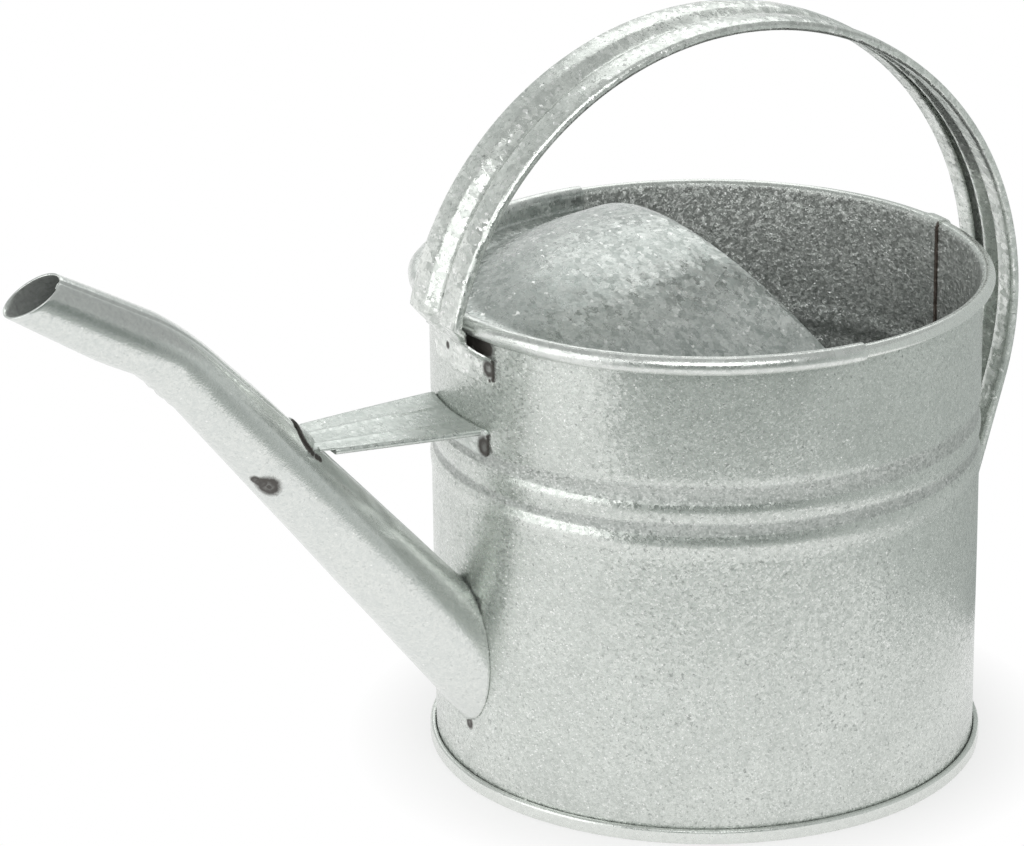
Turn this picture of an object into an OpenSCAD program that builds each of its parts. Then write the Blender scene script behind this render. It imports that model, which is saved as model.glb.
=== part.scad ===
// Galvanised sheet-steel watering can with a half hood, a bent spout, a brace and a strap handle.
// Origin: centre of the base on the ground. +Z is up, +X points along the spout.

/* [Sheet] */
// Thickness of the galvanised sheet
sheet_t = 0.7; // [0.5:0.05:1.2]

/* [Body] */
// Outer diameter of the rolled wall
body_d = 180; // [140:1:240]
// Height from the ground to the top of the curled rim
body_h = 164; // [130:1:220]
// Outer diameter of the curl along the rim
rim_curl_d = 4.6; // [3.8:0.1:6]
// Width of the overlap where the rolled wall closes at the back
seam_lap_w = 6; // [4:0.5:10]

/* [Swaged beads] */
// Distance from the top of the rim down to the lower bead's crest
bead_drop = 62.5; // [58:0.5:66]
// Distance between the crests of the two beads
bead_pitch = 11; // [9:0.5:14]
// Height of a crest outside the plain wall
bead_crest = 0.4; // [0.2:0.05:0.8]
// Depth of a valley inside the plain wall
bead_valley = 0.9; // [0.4:0.05:1.2]

/* [Base] */
// Height of the folded seam band around the base
chime_h = 4.8; // [4:0.1:7]
// How far the seam band stands out from the wall
chime_out = 2.2; // [2:0.1:3.5]
// Height of the base sheet above the ground
base_lift = 3.2; // [2.4:0.1:4]

/* [Hood] */
// How far the ends of the hood's free edge lie behind the middle of the mouth
hood_past = 3; // [-15:0.5:15]
// How far the middle of the free edge is bowed forwards of its ends
hood_bow = 14.5; // [5:0.5:25]
// Distance from the top of the rim down to the hood's brim
brim_drop = 6.5; // [5:0.5:12]
// Width of the flat brim between the wall and the dome
brim_w = 10; // [6:0.5:20]
// Height of the dome above the brim
dome_rise = 24; // [12:0.5:32]

/* [Spout] */
// Height at which the spout's axis meets the wall
spout_root_z = 48; // [40:1:60]
// Length of the lower, straight stretch along the axis
spout_low_len = 153; // [120:1:180]
// Length of the upper stretch along the axis, from the bend to the mouth
spout_up_len = 52.5; // [35:1:70]
// Slope of the lower stretch above the horizontal
spout_low_angle = 50; // [42:1:56]
// Slope of the upper stretch above the horizontal
spout_up_angle = 31; // [20:1:40]
// Outer diameter at the wall
spout_root_d = 31.6; // [26:0.2:38]
// Outer diameter at the bend
spout_bend_d = 21.6; // [18:0.2:25]
// Outer diameter at the mouth
spout_tip_d = 18.2; // [15:0.2:22]
// Radius of the bend, along the axis
spout_bend_r = 75; // [50:1:100]
// How much the mouth is cut off square, in degrees
mouth_cut = 29; // [0:1:35]

/* [Brace] */
// Distance from the top of the rim down to the brace where it leaves the wall
brace_drop = 35.4; // [30:0.2:40]
// Rise of the brace from the wall to the spout, in degrees
brace_slope = 3; // [0:0.5:6]
// Width of the brace at the wall
brace_wall_w = 38; // [28:1:44]
// Width of the brace at the spout
brace_tip_w = 23; // [17:1:24]
// Sideways shift of the brace's wall end from the spout's plane
brace_shift = -3.5; // [-4:0.5:4]
// Width of the hem folded under each long edge
brace_hem_w = 5; // [3:0.5:6]
// Width of the tab that is welded to the wall
brace_tab_w = 41; // [32:1:46]
// Height of the tab
brace_tab_h = 9.5; // [6:0.5:12]
// Length of the tongue that is welded on top of the spout
tongue_len = 9; // [6:0.5:12]
// Width of the tongue
tongue_w = 15; // [10:0.5:17]

/* [Handle] */
// Height of the handle above the rim
handle_rise = 84; // [70:1:110]
// How far the strap stands out past the wall where it bends towards it at the front
handle_front_out = 10.1; // [9.5:0.1:16]
// How far the handle stands out past the wall at the back
handle_back_out = 22.5; // [16:0.5:30]
// How far below the top of the rim the strap bends towards the wall at the front
handle_front_drop = 1; // [0:0.5:6]
// Width of the strap over its rolled edges
strap_w = 32.4; // [28:0.2:40]
// Depth of the strap from its crests to its rolled edges
strap_depth = 3.6; // [3.2:0.1:4.2]
// Distance between the two crests beside the strap's groove
groove_w = 9.6; // [7:0.2:12]
// Width of the hem folded under each edge of the strap
strap_hem_w = 7.5; // [5:0.5:9]
// Slope of the back leg away from the vertical, in degrees
back_leg_angle = 16.5; // [12:0.5:22]
// Width of each foot where it lies on the wall
foot_w = 40; // [34:1:48]
// Width of each foot where it leaves the strap
foot_neck_w = 27; // [20:1:30]
// Height of each foot's welded tab
foot_tab_h = 8; // [5:0.5:12]
// Slope of each foot's bend towards the wall, away from the vertical, in degrees
foot_angle = 38; // [30:1:50]

/* [Hidden] */
$fn = 96;
far = 400;
seat = 0.02;                    // clearance between sheets that lie on each other
lap = 0.02;                     // how far one stretch of a piece is let into the next, across its faces
lap_run = 0.8;                  // and along them

// Body
body_r = body_d / 2;
body_ri = body_r - sheet_t;
wall_mid = body_r - sheet_t / 2;
lap_mid = wall_mid - sheet_t + lap;
curl_r = rim_curl_d / 2;
curl_x = wall_mid + curl_r - sheet_t / 2;
curl_z = body_h - curl_r;
bead_z = body_h - bead_drop;
bead_rise = bead_pitch * 0.4;   // height of the short face above each crest
bead_fade = bead_pitch * 0.55;  // height over which the beads run out into the plain wall
flange_z = 1.5 * sheet_t + seat;
flange_x = body_r + chime_out - sheet_t - seat;

// Hood
hood_mid = body_ri - seat - sheet_t / 2;
brim_z = body_h - brim_drop;
dome_foot = hood_mid - brim_w;
dome_r = (pow(dome_foot, 2) + pow(dome_rise, 2)) / (2 * dome_rise);
dome_z = brim_z + dome_rise - dome_r;
bow_r = (pow(body_r, 2) + pow(hood_bow, 2)) / (2 * hood_bow);
dome_edge = asin((brim_z - sheet_t / 2 - dome_z) / (dome_r - sheet_t / 2));

// Spout
spout_turn = spout_low_angle - spout_up_angle;
bend_tan = spout_bend_r * tan(spout_turn / 2);
low_run = spout_low_len - bend_tan;
up_run = spout_up_len - bend_tan;
root_r = spout_root_d / 2;
bend_r = spout_bend_d / 2;
tip_r = spout_tip_d / 2;
low_taper = (root_r - bend_r) / (low_run + lap_run);
up_taper = (bend_r - tip_r) / up_run;
root_sink = spout_root_d;       // the tube is made longer than this and trimmed at the wall
tip_over = spout_tip_d;         // and at the mouth
low_dir = [cos(spout_low_angle), 0, sin(spout_low_angle)];
low_down = [sin(spout_low_angle), 0, -cos(spout_low_angle)];
bend_start = [body_r, 0, spout_root_z] + low_run * low_dir;
bend_centre = bend_start + spout_bend_r * low_down;

brace_z = body_h - brace_drop;
// Brace: the distance along the spout's axis at which the brace's sheet meets the top of the spout
slope_t = tan(brace_slope);
tongue_s = (brace_z - spout_root_z - root_r * (cos(spout_low_angle) + slope_t * sin(spout_low_angle)))
    / (sin(spout_low_angle) - low_taper * cos(spout_low_angle)
        - slope_t * (cos(spout_low_angle) + low_taper * sin(spout_low_angle)));
tongue_r = root_r - low_taper * tongue_s;
tongue_half = asin(tongue_w / 2 / tongue_r);
brace_tip_x = body_r + tongue_s * cos(spout_low_angle) - tongue_r * sin(spout_low_angle);
brace_in = body_r - brace_wall_w / 4;
hem_short = 3;                          // the brace's hems stop this far before the spout

// Handle: the arch is the circle through its highest point, its furthest point at the back
// and the point where it ends at the front
arch_span = body_d + handle_front_out + handle_back_out;
arch_tall = handle_rise + handle_front_drop;
arch_r = arch_span + arch_tall - sqrt(2 * arch_span * arch_tall);
arch_x = arch_r - body_r - handle_back_out;
arch_z = body_h + handle_rise - arch_r;
crown = 0.3;                            // extra height in the middle of each flank
crest_h = strap_depth - sheet_t - crown; // height of the crests above the hems
edge_r = crest_h / 2;                   // middle radius of the strap's rolled edges
edge_x = strap_w / 2 - sheet_t / 2 - edge_r;
groove_x = groove_w / 2;
section_r = arch_r - strap_depth + sheet_t / 2;
front_end = asin((body_h - handle_front_drop - arch_z) / arch_r);
foot_lap = 3;                           // the foot's plate is joined to this much of the strap
plate_r = arch_r - sheet_t / 2;
back_hem = [-arch_x + (arch_r - strap_depth) * cos(back_leg_angle),
    arch_z - (arch_r - strap_depth) * sin(back_leg_angle)];
leg_len = (back_hem[0] - body_r - seat) / sin(back_leg_angle);

// A point d above the seat on the spout's lower stretch, at the distance s along its axis
function over_spout(s, d) = [root_r - low_taper * s + seat + d, s];
// Points of an arc about c, from angle a to angle b in n steps
function arc(c, r, a, b, n) = [for (i = [0 : n]) let (t = a + (b - a) * i / n) c + r * [cos(t), sin(t)]];
function normal(u) = [-u[1], u[0]] / norm(u);
// Sum of the normals on both sides of point i, scaled so that the sheet keeps its thickness at a corner
function miter(p, i) =
    let (before = max(i, 1), after = min(i, len(p) - 2),
        a = normal(p[before] - p[before - 1]), b = normal(p[after + 1] - p[after]))
    (a + b) / (1 + a * b);
function side(p, d) = [for (i = [0 : len(p) - 1]) p[i] + d * miter(p, i)];
function reversed(p) = [for (i = [len(p) - 1 : -1 : 0]) p[i]];
// Outline of a sheet of thickness t that follows the path p
function sheet(p, t = sheet_t) = concat(side(p, t / 2), reversed(side(p, -t / 2)));

// The rolled wall from the flange at the bottom to the start of the curl
function wall_path(r) = [
    [r, bead_z - bead_fade],
    [r + bead_crest, bead_z],
    [r - bead_valley, bead_z + bead_rise],
    [r + bead_crest, bead_z + bead_pitch],
    [r - bead_valley, bead_z + bead_pitch + bead_rise],
    [r, bead_z + bead_pitch + bead_rise + bead_fade]];

// Half of the strap's section, across and outwards, from its groove to the free edge of the hem,
// which is made wider by more
function half_strap(more) = concat(
    [[0, 0], [groove_x * 0.3, crest_h * 0.1], [groove_x * 0.8, crest_h * 0.9], [groove_x, crest_h]],
    [[(groove_x + edge_x) / 2, crest_h + crown]],
    arc([edge_x, crest_h - edge_r], edge_r, 90, -90, 9),
    [[edge_x - strap_hem_w + edge_r - more, -sheet_t / 4]]);
function strap_path(more) =
    let (half = half_strap(more))
    concat(reversed([for (q = half) [-q[0], q[1]]]), [for (i = [1 : len(half) - 1]) half[i]]);
// The strap's section, with its sheet more thick, at its place on the arch
function strap_section(more) = [for (q = sheet(strap_path(more), sheet_t + more)) [section_r + q[1], q[0]]];

// The space inside the wall's outer surface, d larger all round
module wall_space(d) {
    translate([0, 0, -1]) cylinder(r = body_r + d, h = far, $fn = 180);
}

// A tab that lies on the wall, w wide, centred on azimuth a
module wall_tab(w, z, h, a) {
    half = asin(w / 2 / body_r);
    rotate([0, 0, a - half]) rotate_extrude(angle = 2 * half, $fn = 180)
        translate([body_r + seat, z]) square([sheet_t, h]);
}

// Puts a shape drawn in the XY plane into the XZ plane, centred on y = 0 and w thick
module across(w) {
    translate([0, w / 2, 0]) rotate([90, 0, 0]) linear_extrude(w) children();
}

// Places its children where the spout's axis meets the wall, with +Z along the spout
module at_root() {
    translate([body_r, 0, spout_root_z]) rotate([0, 90 - spout_low_angle, 0]) children();
}

// A tapered tube about Z, from a height and radius to another, with a wall as thick as the sheet
module taper(z1, r1, z2, r2) {
    rotate_extrude() polygon([[r1, z1], [r1 - sheet_t, z1], [r2 - sheet_t, z2], [r2, z2]]);
}

// The lower stretch of the spout as a solid, with its radius changed by d
module spout_low(d) {
    at_root() translate([0, 0, -root_sink])
        cylinder(r1 = root_r + low_taper * root_sink + d, r2 = bend_r + d, h = low_run + lap_run + root_sink);
}

// Places its children at the start of the upper stretch, with +Z along the spout
module at_upper() {
    translate(bend_centre) rotate([0, 90 - spout_up_angle, 0]) translate([-spout_bend_r, 0, 0]) children();
}

module body_wall() {
    color("silver") {
        difference() {
            rotate_extrude($fn = 180) polygon(sheet(concat(
                [[flange_x, flange_z], [wall_mid, flange_z]],
                wall_path(wall_mid),
                arc([curl_x, curl_z], curl_r - sheet_t / 2, 180, -150, 33))));
            spout_low(-sheet_t);
        }
        // The inner end of the rolled sheet, which laps over the other end opposite the spout
        rotate([0, 0, 180 - asin(seam_lap_w / body_ri)])
            rotate_extrude(angle = asin(seam_lap_w / body_ri), $fn = 180) polygon(sheet(concat(
                [[lap_mid, base_lift + sheet_t]],
                wall_path(lap_mid),
                [[lap_mid, curl_z]])));
    }
}

module base() {
    riser = body_ri - seat - sheet_t / 2;
    band = body_r + chime_out - sheet_t / 2;
    color("silver") rotate_extrude($fn = 180) polygon(sheet([
        [0, base_lift - sheet_t / 2], [riser, base_lift - sheet_t / 2],
        [riser, sheet_t / 2], [band, sheet_t / 2],
        [band, chime_h - sheet_t / 2], [body_r + seat, chime_h - sheet_t / 2]]));
}

module hood() {
    color("lightgray") difference() {
        rotate_extrude($fn = 180) polygon(sheet(concat(
            arc([curl_x, curl_z], curl_r + seat + sheet_t / 2, -50, 180, 23),
            [[hood_mid, brim_z - sheet_t / 2]],
            arc([0, dome_z], dome_r - sheet_t / 2, dome_edge, 89, 16),
            [[0, dome_z + (dome_r - sheet_t / 2) * sin(89)]])));
        translate([hood_bow - hood_past - bow_r, 0, 0]) cylinder(r = bow_r, h = far, $fn = 360);
    }
}

module spout() {
    color("gainsboro") {
        difference() {
            at_root() taper(-root_sink, root_r + low_taper * root_sink, low_run + lap_run, bend_r);
            rotate_extrude($fn = 180) polygon(concat(
                [[0, 0], [body_r + seat, 0]], wall_path(body_r + seat),
                [[body_r + seat, body_h], [0, body_h]]));
        }
        translate(bend_centre) rotate([90, 0, 0]) rotate([0, 0, 90 + spout_up_angle])
            rotate_extrude(angle = spout_turn) translate([spout_bend_r, 0]) difference() {
                circle(r = bend_r + lap);
                circle(r = bend_r - sheet_t - lap);
            }
        at_upper() difference() {
            taper(-lap_run, bend_r, up_run + tip_over, tip_r - up_taper * tip_over);
            translate([0, 0, up_run]) rotate([0, -mouth_cut, 0]) translate([-far / 2, -far / 2, 0]) cube(far);
        }
    }
}

// Plan of a strip of the brace between the shares a and b of its width, from the wall to the spout
module brace_strip(a, b, x_end) {
    polygon([[brace_in - body_r, brace_shift + a * brace_wall_w], [x_end, a * brace_tip_w],
        [x_end, b * brace_tip_w], [brace_in - body_r, brace_shift + b * brace_wall_w]]);
}

module brace() {
    hem = brace_hem_w / brace_wall_w;
    tip = brace_tip_x - body_r;
    color("silver") {
        difference() {
            translate([body_r, 0, brace_z]) rotate([0, -brace_slope, 0]) {
                translate([0, 0, -sheet_t]) linear_extrude(sheet_t) brace_strip(-0.5, 0.5, tip);
                for (a = [-0.5, 0.5 - hem]) translate([0, 0, -2 * sheet_t])
                    linear_extrude(sheet_t * 1.5) brace_strip(a, a + hem, tip - hem_short);
            }
            wall_space(seat + sheet_t / 2);
            spout_low(seat + sheet_t / 2);
        }
        wall_tab(brace_tab_w, brace_z - brace_tab_h, brace_tab_h, asin(brace_shift / body_r));
        at_root() rotate([0, 0, 180 - tongue_half]) rotate_extrude(angle = 2 * tongue_half) polygon([
            over_spout(tongue_s - sheet_t, 0), over_spout(tongue_s - sheet_t, sheet_t),
            over_spout(tongue_s + tongue_len, sheet_t), over_spout(tongue_s + tongue_len, 0)]);
    }
}

// A foot: a plate bent from the strap towards the wall, and a tab on the wall.
// p is the strap's end in the XZ plane with x counted outwards, u the strap's direction there.
module foot(p, u) {
    inward = [-sin(foot_angle), -cos(foot_angle)];
    reach = (p[0] - body_r) / sin(foot_angle);
    wall_z = (p + reach * inward)[1];
    difference() {
        intersection() {
            across(foot_w) polygon(sheet([p - foot_lap * u, p, p + (reach + foot_tab_h) * inward]));
            rotate([90, 0, 90]) linear_extrude(far) polygon([
                [-foot_neck_w / 2, far], [-foot_neck_w / 2, (p[1] + wall_z) / 2],
                [-foot_w / 2, wall_z], [-foot_w / 2, wall_z - foot_tab_h],
                [foot_w / 2, wall_z - foot_tab_h], [foot_w / 2, wall_z],
                [foot_neck_w / 2, (p[1] + wall_z) / 2], [foot_neck_w / 2, far]]);
        }
        wall_space(seat + sheet_t / 2);
    }
    wall_tab(foot_w, wall_z - foot_tab_h, foot_tab_h, 0);
}

module handle() {
    leg_u = [-sin(back_leg_angle), -cos(back_leg_angle)];
    leg_start = [-arch_x + plate_r * cos(back_leg_angle), arch_z - plate_r * sin(back_leg_angle)];
    color("silver") {
        translate([arch_x, 0, arch_z]) rotate([90, 0, 0]) {
            rotate([0, 0, front_end]) rotate_extrude(angle = 180 + back_leg_angle - front_end, $fn = 180)
                polygon(strap_section(0));
            rotate([0, 0, 180 + back_leg_angle]) rotate([-90, 0, 0]) translate([0, 0, -lap_run])
                linear_extrude(leg_len + lap_run) polygon(strap_section(lap));
        }
        foot([arch_x + plate_r * cos(front_end), arch_z + plate_r * sin(front_end)],
            [sin(front_end), -cos(front_end)]);
        rotate([0, 0, 180]) foot(leg_start + leg_len * leg_u, leg_u);
    }
}

body_wall();
base();
hood();
spout();
brace();
handle();
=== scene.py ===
import math

import bmesh
import bpy
import numpy as np
from mathutils import Matrix, Vector, noise


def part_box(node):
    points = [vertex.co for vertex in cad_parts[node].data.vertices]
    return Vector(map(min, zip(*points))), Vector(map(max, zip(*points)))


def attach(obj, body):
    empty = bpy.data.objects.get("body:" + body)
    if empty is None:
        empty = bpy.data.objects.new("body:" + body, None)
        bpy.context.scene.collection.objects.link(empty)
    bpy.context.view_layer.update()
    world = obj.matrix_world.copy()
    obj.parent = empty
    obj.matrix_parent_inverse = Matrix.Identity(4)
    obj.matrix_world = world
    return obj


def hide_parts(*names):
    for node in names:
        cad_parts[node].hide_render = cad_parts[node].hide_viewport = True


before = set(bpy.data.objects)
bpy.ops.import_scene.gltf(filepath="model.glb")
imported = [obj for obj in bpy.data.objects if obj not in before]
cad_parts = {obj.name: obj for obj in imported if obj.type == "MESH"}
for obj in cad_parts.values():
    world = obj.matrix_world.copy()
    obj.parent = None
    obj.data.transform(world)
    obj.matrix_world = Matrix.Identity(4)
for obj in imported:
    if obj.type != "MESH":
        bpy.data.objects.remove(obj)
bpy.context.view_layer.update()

# The finish of a galvanised sheet-steel watering can. Lengths are in millimetres until a mesh is made.
# +Z is up, +X points along the spout, and the origin is the middle of the base on the ground.

MM = 0.001


def box(node):
    """Lowest and highest corner of a CAD node, in millimetres."""
    low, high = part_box(node)
    return low / MM, high / MM


# ---------------------------------------------------------------- sizes

SHEET = 0.7                                  # thickness of the sheet
CHIME_OUT = 2.2                              # how far the base seam stands out from the wall
CURL_R = 2.3                                 # outer radius of the rim's curl

BODY_R = box("base")[1].x - CHIME_OUT
WALL_MID = BODY_R - SHEET / 2
CHIME_H = box("base")[1].z
RIM_TOP = box("body_wall")[1].z
CURL_X = WALL_MID + CURL_R - SHEET / 2
CURL_Z = RIM_TOP - CURL_R
LAP = 0.05                                   # gap between sheets that lie on each other

# Swaged beads: heights below the rim and offsets from the plain wall, from the top down
BEADS = ((40, 0), (46.8, -0.85), (51.4, 0.25), (57.8, -0.62), (62.6, 0.5), (68.5, 0))

HOOD_END = 92                                # half the angle that the hood covers on the rim
BRIM_Z = RIM_TOP - 6.5 - SHEET / 2           # the flat brim around the dome
HOOD_MID = BODY_R - SHEET - 0.02 - SHEET / 2  # radius of the hood's upright part, inside the wall
DOME_FOOT = HOOD_MID - 10                    # radius where the dome rises from the brim
DOME_RISE = 24
DOME_R = (DOME_FOOT ** 2 + DOME_RISE ** 2) / (2 * DOME_RISE)
HOOD_PAST = 3                                # how far the free edge's ends lie behind the can's middle
HOOD_BOW = 14.5                              # and how far its middle bows forward from there

SPOUT_ROOT = Vector((BODY_R, 0, 48))
LOW_ANGLE, UP_ANGLE = math.radians(50), math.radians(31)
BEND_R = 75                                  # radius of the axis at the bend
LOW_LEN, UP_LEN = 153, 52.5                  # lengths of the axis to and from the bend's corner
ROOT_TUBE_R, BEND_TUBE_R, TIP_TUBE_R = 15.8, 10.8, 9.1
MOUTH_CUT = math.radians(29)
SPOUT_SEAM = 76                              # where the seam lies around the tube, in degrees up from +Y
SPOUT_TWIST = 20                             # how far the seam has turned towards +Y at the mouth
SPOUT_WELD = (161, 120)                      # x and z of the weld burn on the side

BRACE_Z = RIM_TOP - 35.4                     # top of the brace at the wall
BRACE_SLOPE = math.tan(math.radians(1.8))
BRACE_SHIFT = -3.5                           # how far its wall end is off the middle, in y
TONGUE_LEN = 9                               # length of the brace's tongue along the spout
TONGUE_HALF = 8.4                            # and half its width
TONGUE_ROUND = 2.5                           # exponent of its rounded outline: 2 is a circle

ARCH_TOP = box("handle")[1].z
ARCH_R = 107.5                               # radius of the handle's crest line
ARCH_X, ARCH_Z = -5, ARCH_TOP - ARCH_R
STRAP_HALF = 16.2                            # half the strap's width
STRAP_DEPTH = 3.6                            # depth of its section
FRONT_FOOT_Z = RIM_TOP - 1                   # where the strap's front end turns in to the wall
BACK_LEG = math.radians(16.5)                # how far the back leg leans in
FOOT_SLOPE = math.radians(38)                # how far the plates of both feet lean in
FOOT_TAB = 7.5                               # height of the tabs that lie on the wall
FOOT_HALF = 20                               # half their width


# ---------------------------------------------------------------- mesh tools

def smooth_step(a, b, x):
    """0 up to a, 1 from b on, and a smooth rise between them."""
    t = min(max((x - a) / (b - a), 0), 1)
    return t * t * (3 - 2 * t)


def bump(x, centre, width):
    """A smooth hump of height 1 about a centre."""
    return math.exp(-((x - centre) / width) ** 2)


def arc(centre, radius, start, end, steps):
    """Points of an arc in a plane, from one angle in degrees to another."""
    angles = np.radians(np.linspace(start, end, steps + 1))
    return [(centre[0] + radius * math.cos(t), centre[1] + radius * math.sin(t)) for t in angles]


def rounded(points, radius, steps=4):
    """A polyline in a plane with its inner corners rounded."""
    out = [tuple(points[0])]
    for before, corner, after in zip(points, points[1:], points[2:]):
        c = Vector(corner)
        a, b = Vector(before) - c, Vector(after) - c
        reach = min(radius, a.length / 2.05, b.length / 2.05)
        p, q = c + a.normalized() * reach, c + b.normalized() * reach
        for t in np.linspace(0, 1, steps + 1):
            out.append(tuple(p.lerp(c, t).lerp(c.lerp(q, t), t)))
    return out + [tuple(points[-1])]


def spaced(points, step):
    """A polyline in a plane with extra points, so that none lie further apart than step."""
    out = [points[0]]
    for a, b in zip(points, points[1:]):
        n = max(1, math.ceil(math.dist(a, b) / step))
        out += [tuple(a[k] + (b[k] - a[k]) * i / n for k in range(len(a))) for i in range(1, n + 1)]
    return out


class Surface:
    """Collects grids of points into one surface, which becomes a closed sheet of steel."""

    def __init__(self):
        self.points, self.faces = [], []

    def grid(self, rows, loop=False):
        """Adds rows of points and the faces between them. loop joins each row's end to its start."""
        start, width = len(self.points), len(rows[0])
        self.points += [Vector(p) for row in rows for p in row]
        for i in range(len(rows) - 1):
            for j in range(width if loop else width - 1):
                k = (j + 1) % width
                a, b = start + i * width, start + (i + 1) * width
                self.faces.append((a + j, a + k, b + k, b + j))

    def piece(self, name, node, material, slot, thick=SHEET, edge=0.16, weld=0.03, cutter=None):
        """Thickens the surface to both sides, rounds its cut edges and puts it in place of a CAD node."""
        mesh = bpy.data.meshes.new(name)
        mesh.from_pydata([p * MM for p in self.points], [], self.faces)
        bm = bmesh.new()
        bm.from_mesh(mesh)
        bmesh.ops.remove_doubles(bm, verts=bm.verts, dist=weld * MM)
        bmesh.ops.dissolve_degenerate(bm, edges=bm.edges, dist=0.002 * MM)
        bmesh.ops.recalc_face_normals(bm, faces=bm.faces)
        bm.to_mesh(mesh)
        bm.free()
        piece = bpy.data.objects.new(name, mesh)
        bpy.context.scene.collection.objects.link(piece)
        solid = piece.modifiers.new("sheet", "SOLIDIFY")
        solid.thickness, solid.offset = thick * MM, 0
        if cutter:
            cut = piece.modifiers.new("hole", "BOOLEAN")
            cut.operation, cut.object, cut.solver = "DIFFERENCE", cutter, "EXACT"
        if edge:
            soft = piece.modifiers.new("edge", "BEVEL")
            soft.width, soft.segments = edge * MM, 2
            soft.limit_method, soft.angle_limit = "ANGLE", math.radians(62)
        apply_modifiers(piece)
        piece.data.materials.append(material)
        for face in piece.data.polygons:
            face.use_smooth = True
        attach(piece, "root")
        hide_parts(node)
        return piece


def apply_modifiers(piece):
    """Gives the piece the mesh that its modifiers make."""
    graph = bpy.context.evaluated_depsgraph_get()
    mesh = bpy.data.meshes.new_from_object(piece.evaluated_get(graph))
    piece.modifiers.clear()
    piece.data = mesh


def uneven(point, amount, size):
    """A small smooth irregularity that depends on the place only."""
    return amount * noise.noise(Vector(point) / size)


# ---------------------------------------------------------------- materials

class Nodes:
    """Short calls that add shader nodes to a material."""

    def __init__(self, name):
        self.material = bpy.data.materials.new(name)
        self.material.use_nodes = True
        self.tree = self.material.node_tree
        self.tree.nodes.clear()

    def add(self, kind, settings=(), **inputs):
        node = self.tree.nodes.new("ShaderNode" + kind)
        for key, value in dict(settings).items():
            setattr(node, key, value)
        for key, value in inputs.items():
            self.put(node, key, value)
        return node

    def put(self, node, key, value):
        """Links or sets an input, given by its name or as i and its number."""
        socket = node.inputs[int(key[1:])] if key[0] == "i" and key[1:].isdigit() else node.inputs[key]
        if isinstance(value, bpy.types.NodeSocket):
            self.tree.links.new(value, socket)
        else:
            socket.default_value = value

    def math(self, operation, a, b=0.0, c=0.0):
        return self.add("Math", {"operation": operation}, i0=a, i1=b, i2=c).outputs[0]

    def vector(self, operation, a, b=(0, 0, 0), scale=1.0):
        node = self.add("VectorMath", {"operation": operation}, i0=a, i1=b)
        if operation == "SCALE":
            self.put(node, "Scale", scale)
        return node.outputs["Value" if operation in ("LENGTH", "DISTANCE", "DOT_PRODUCT") else "Vector"]

    def range(self, value, low, high, to_low=0.0, to_high=1.0):
        node = self.add("MapRange", {"clamp": True}, Value=value)
        for key, number in (("From Min", low), ("From Max", high), ("To Min", to_low), ("To Max", to_high)):
            self.put(node, key, number)
        return node.outputs["Result"]

    def mix(self, factor, a, b):
        node = self.add("Mix", {"data_type": "RGBA"})
        self.put(node, "i0", factor)
        self.put(node, "i6", a)
        self.put(node, "i7", b)
        return node.outputs[2]


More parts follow.
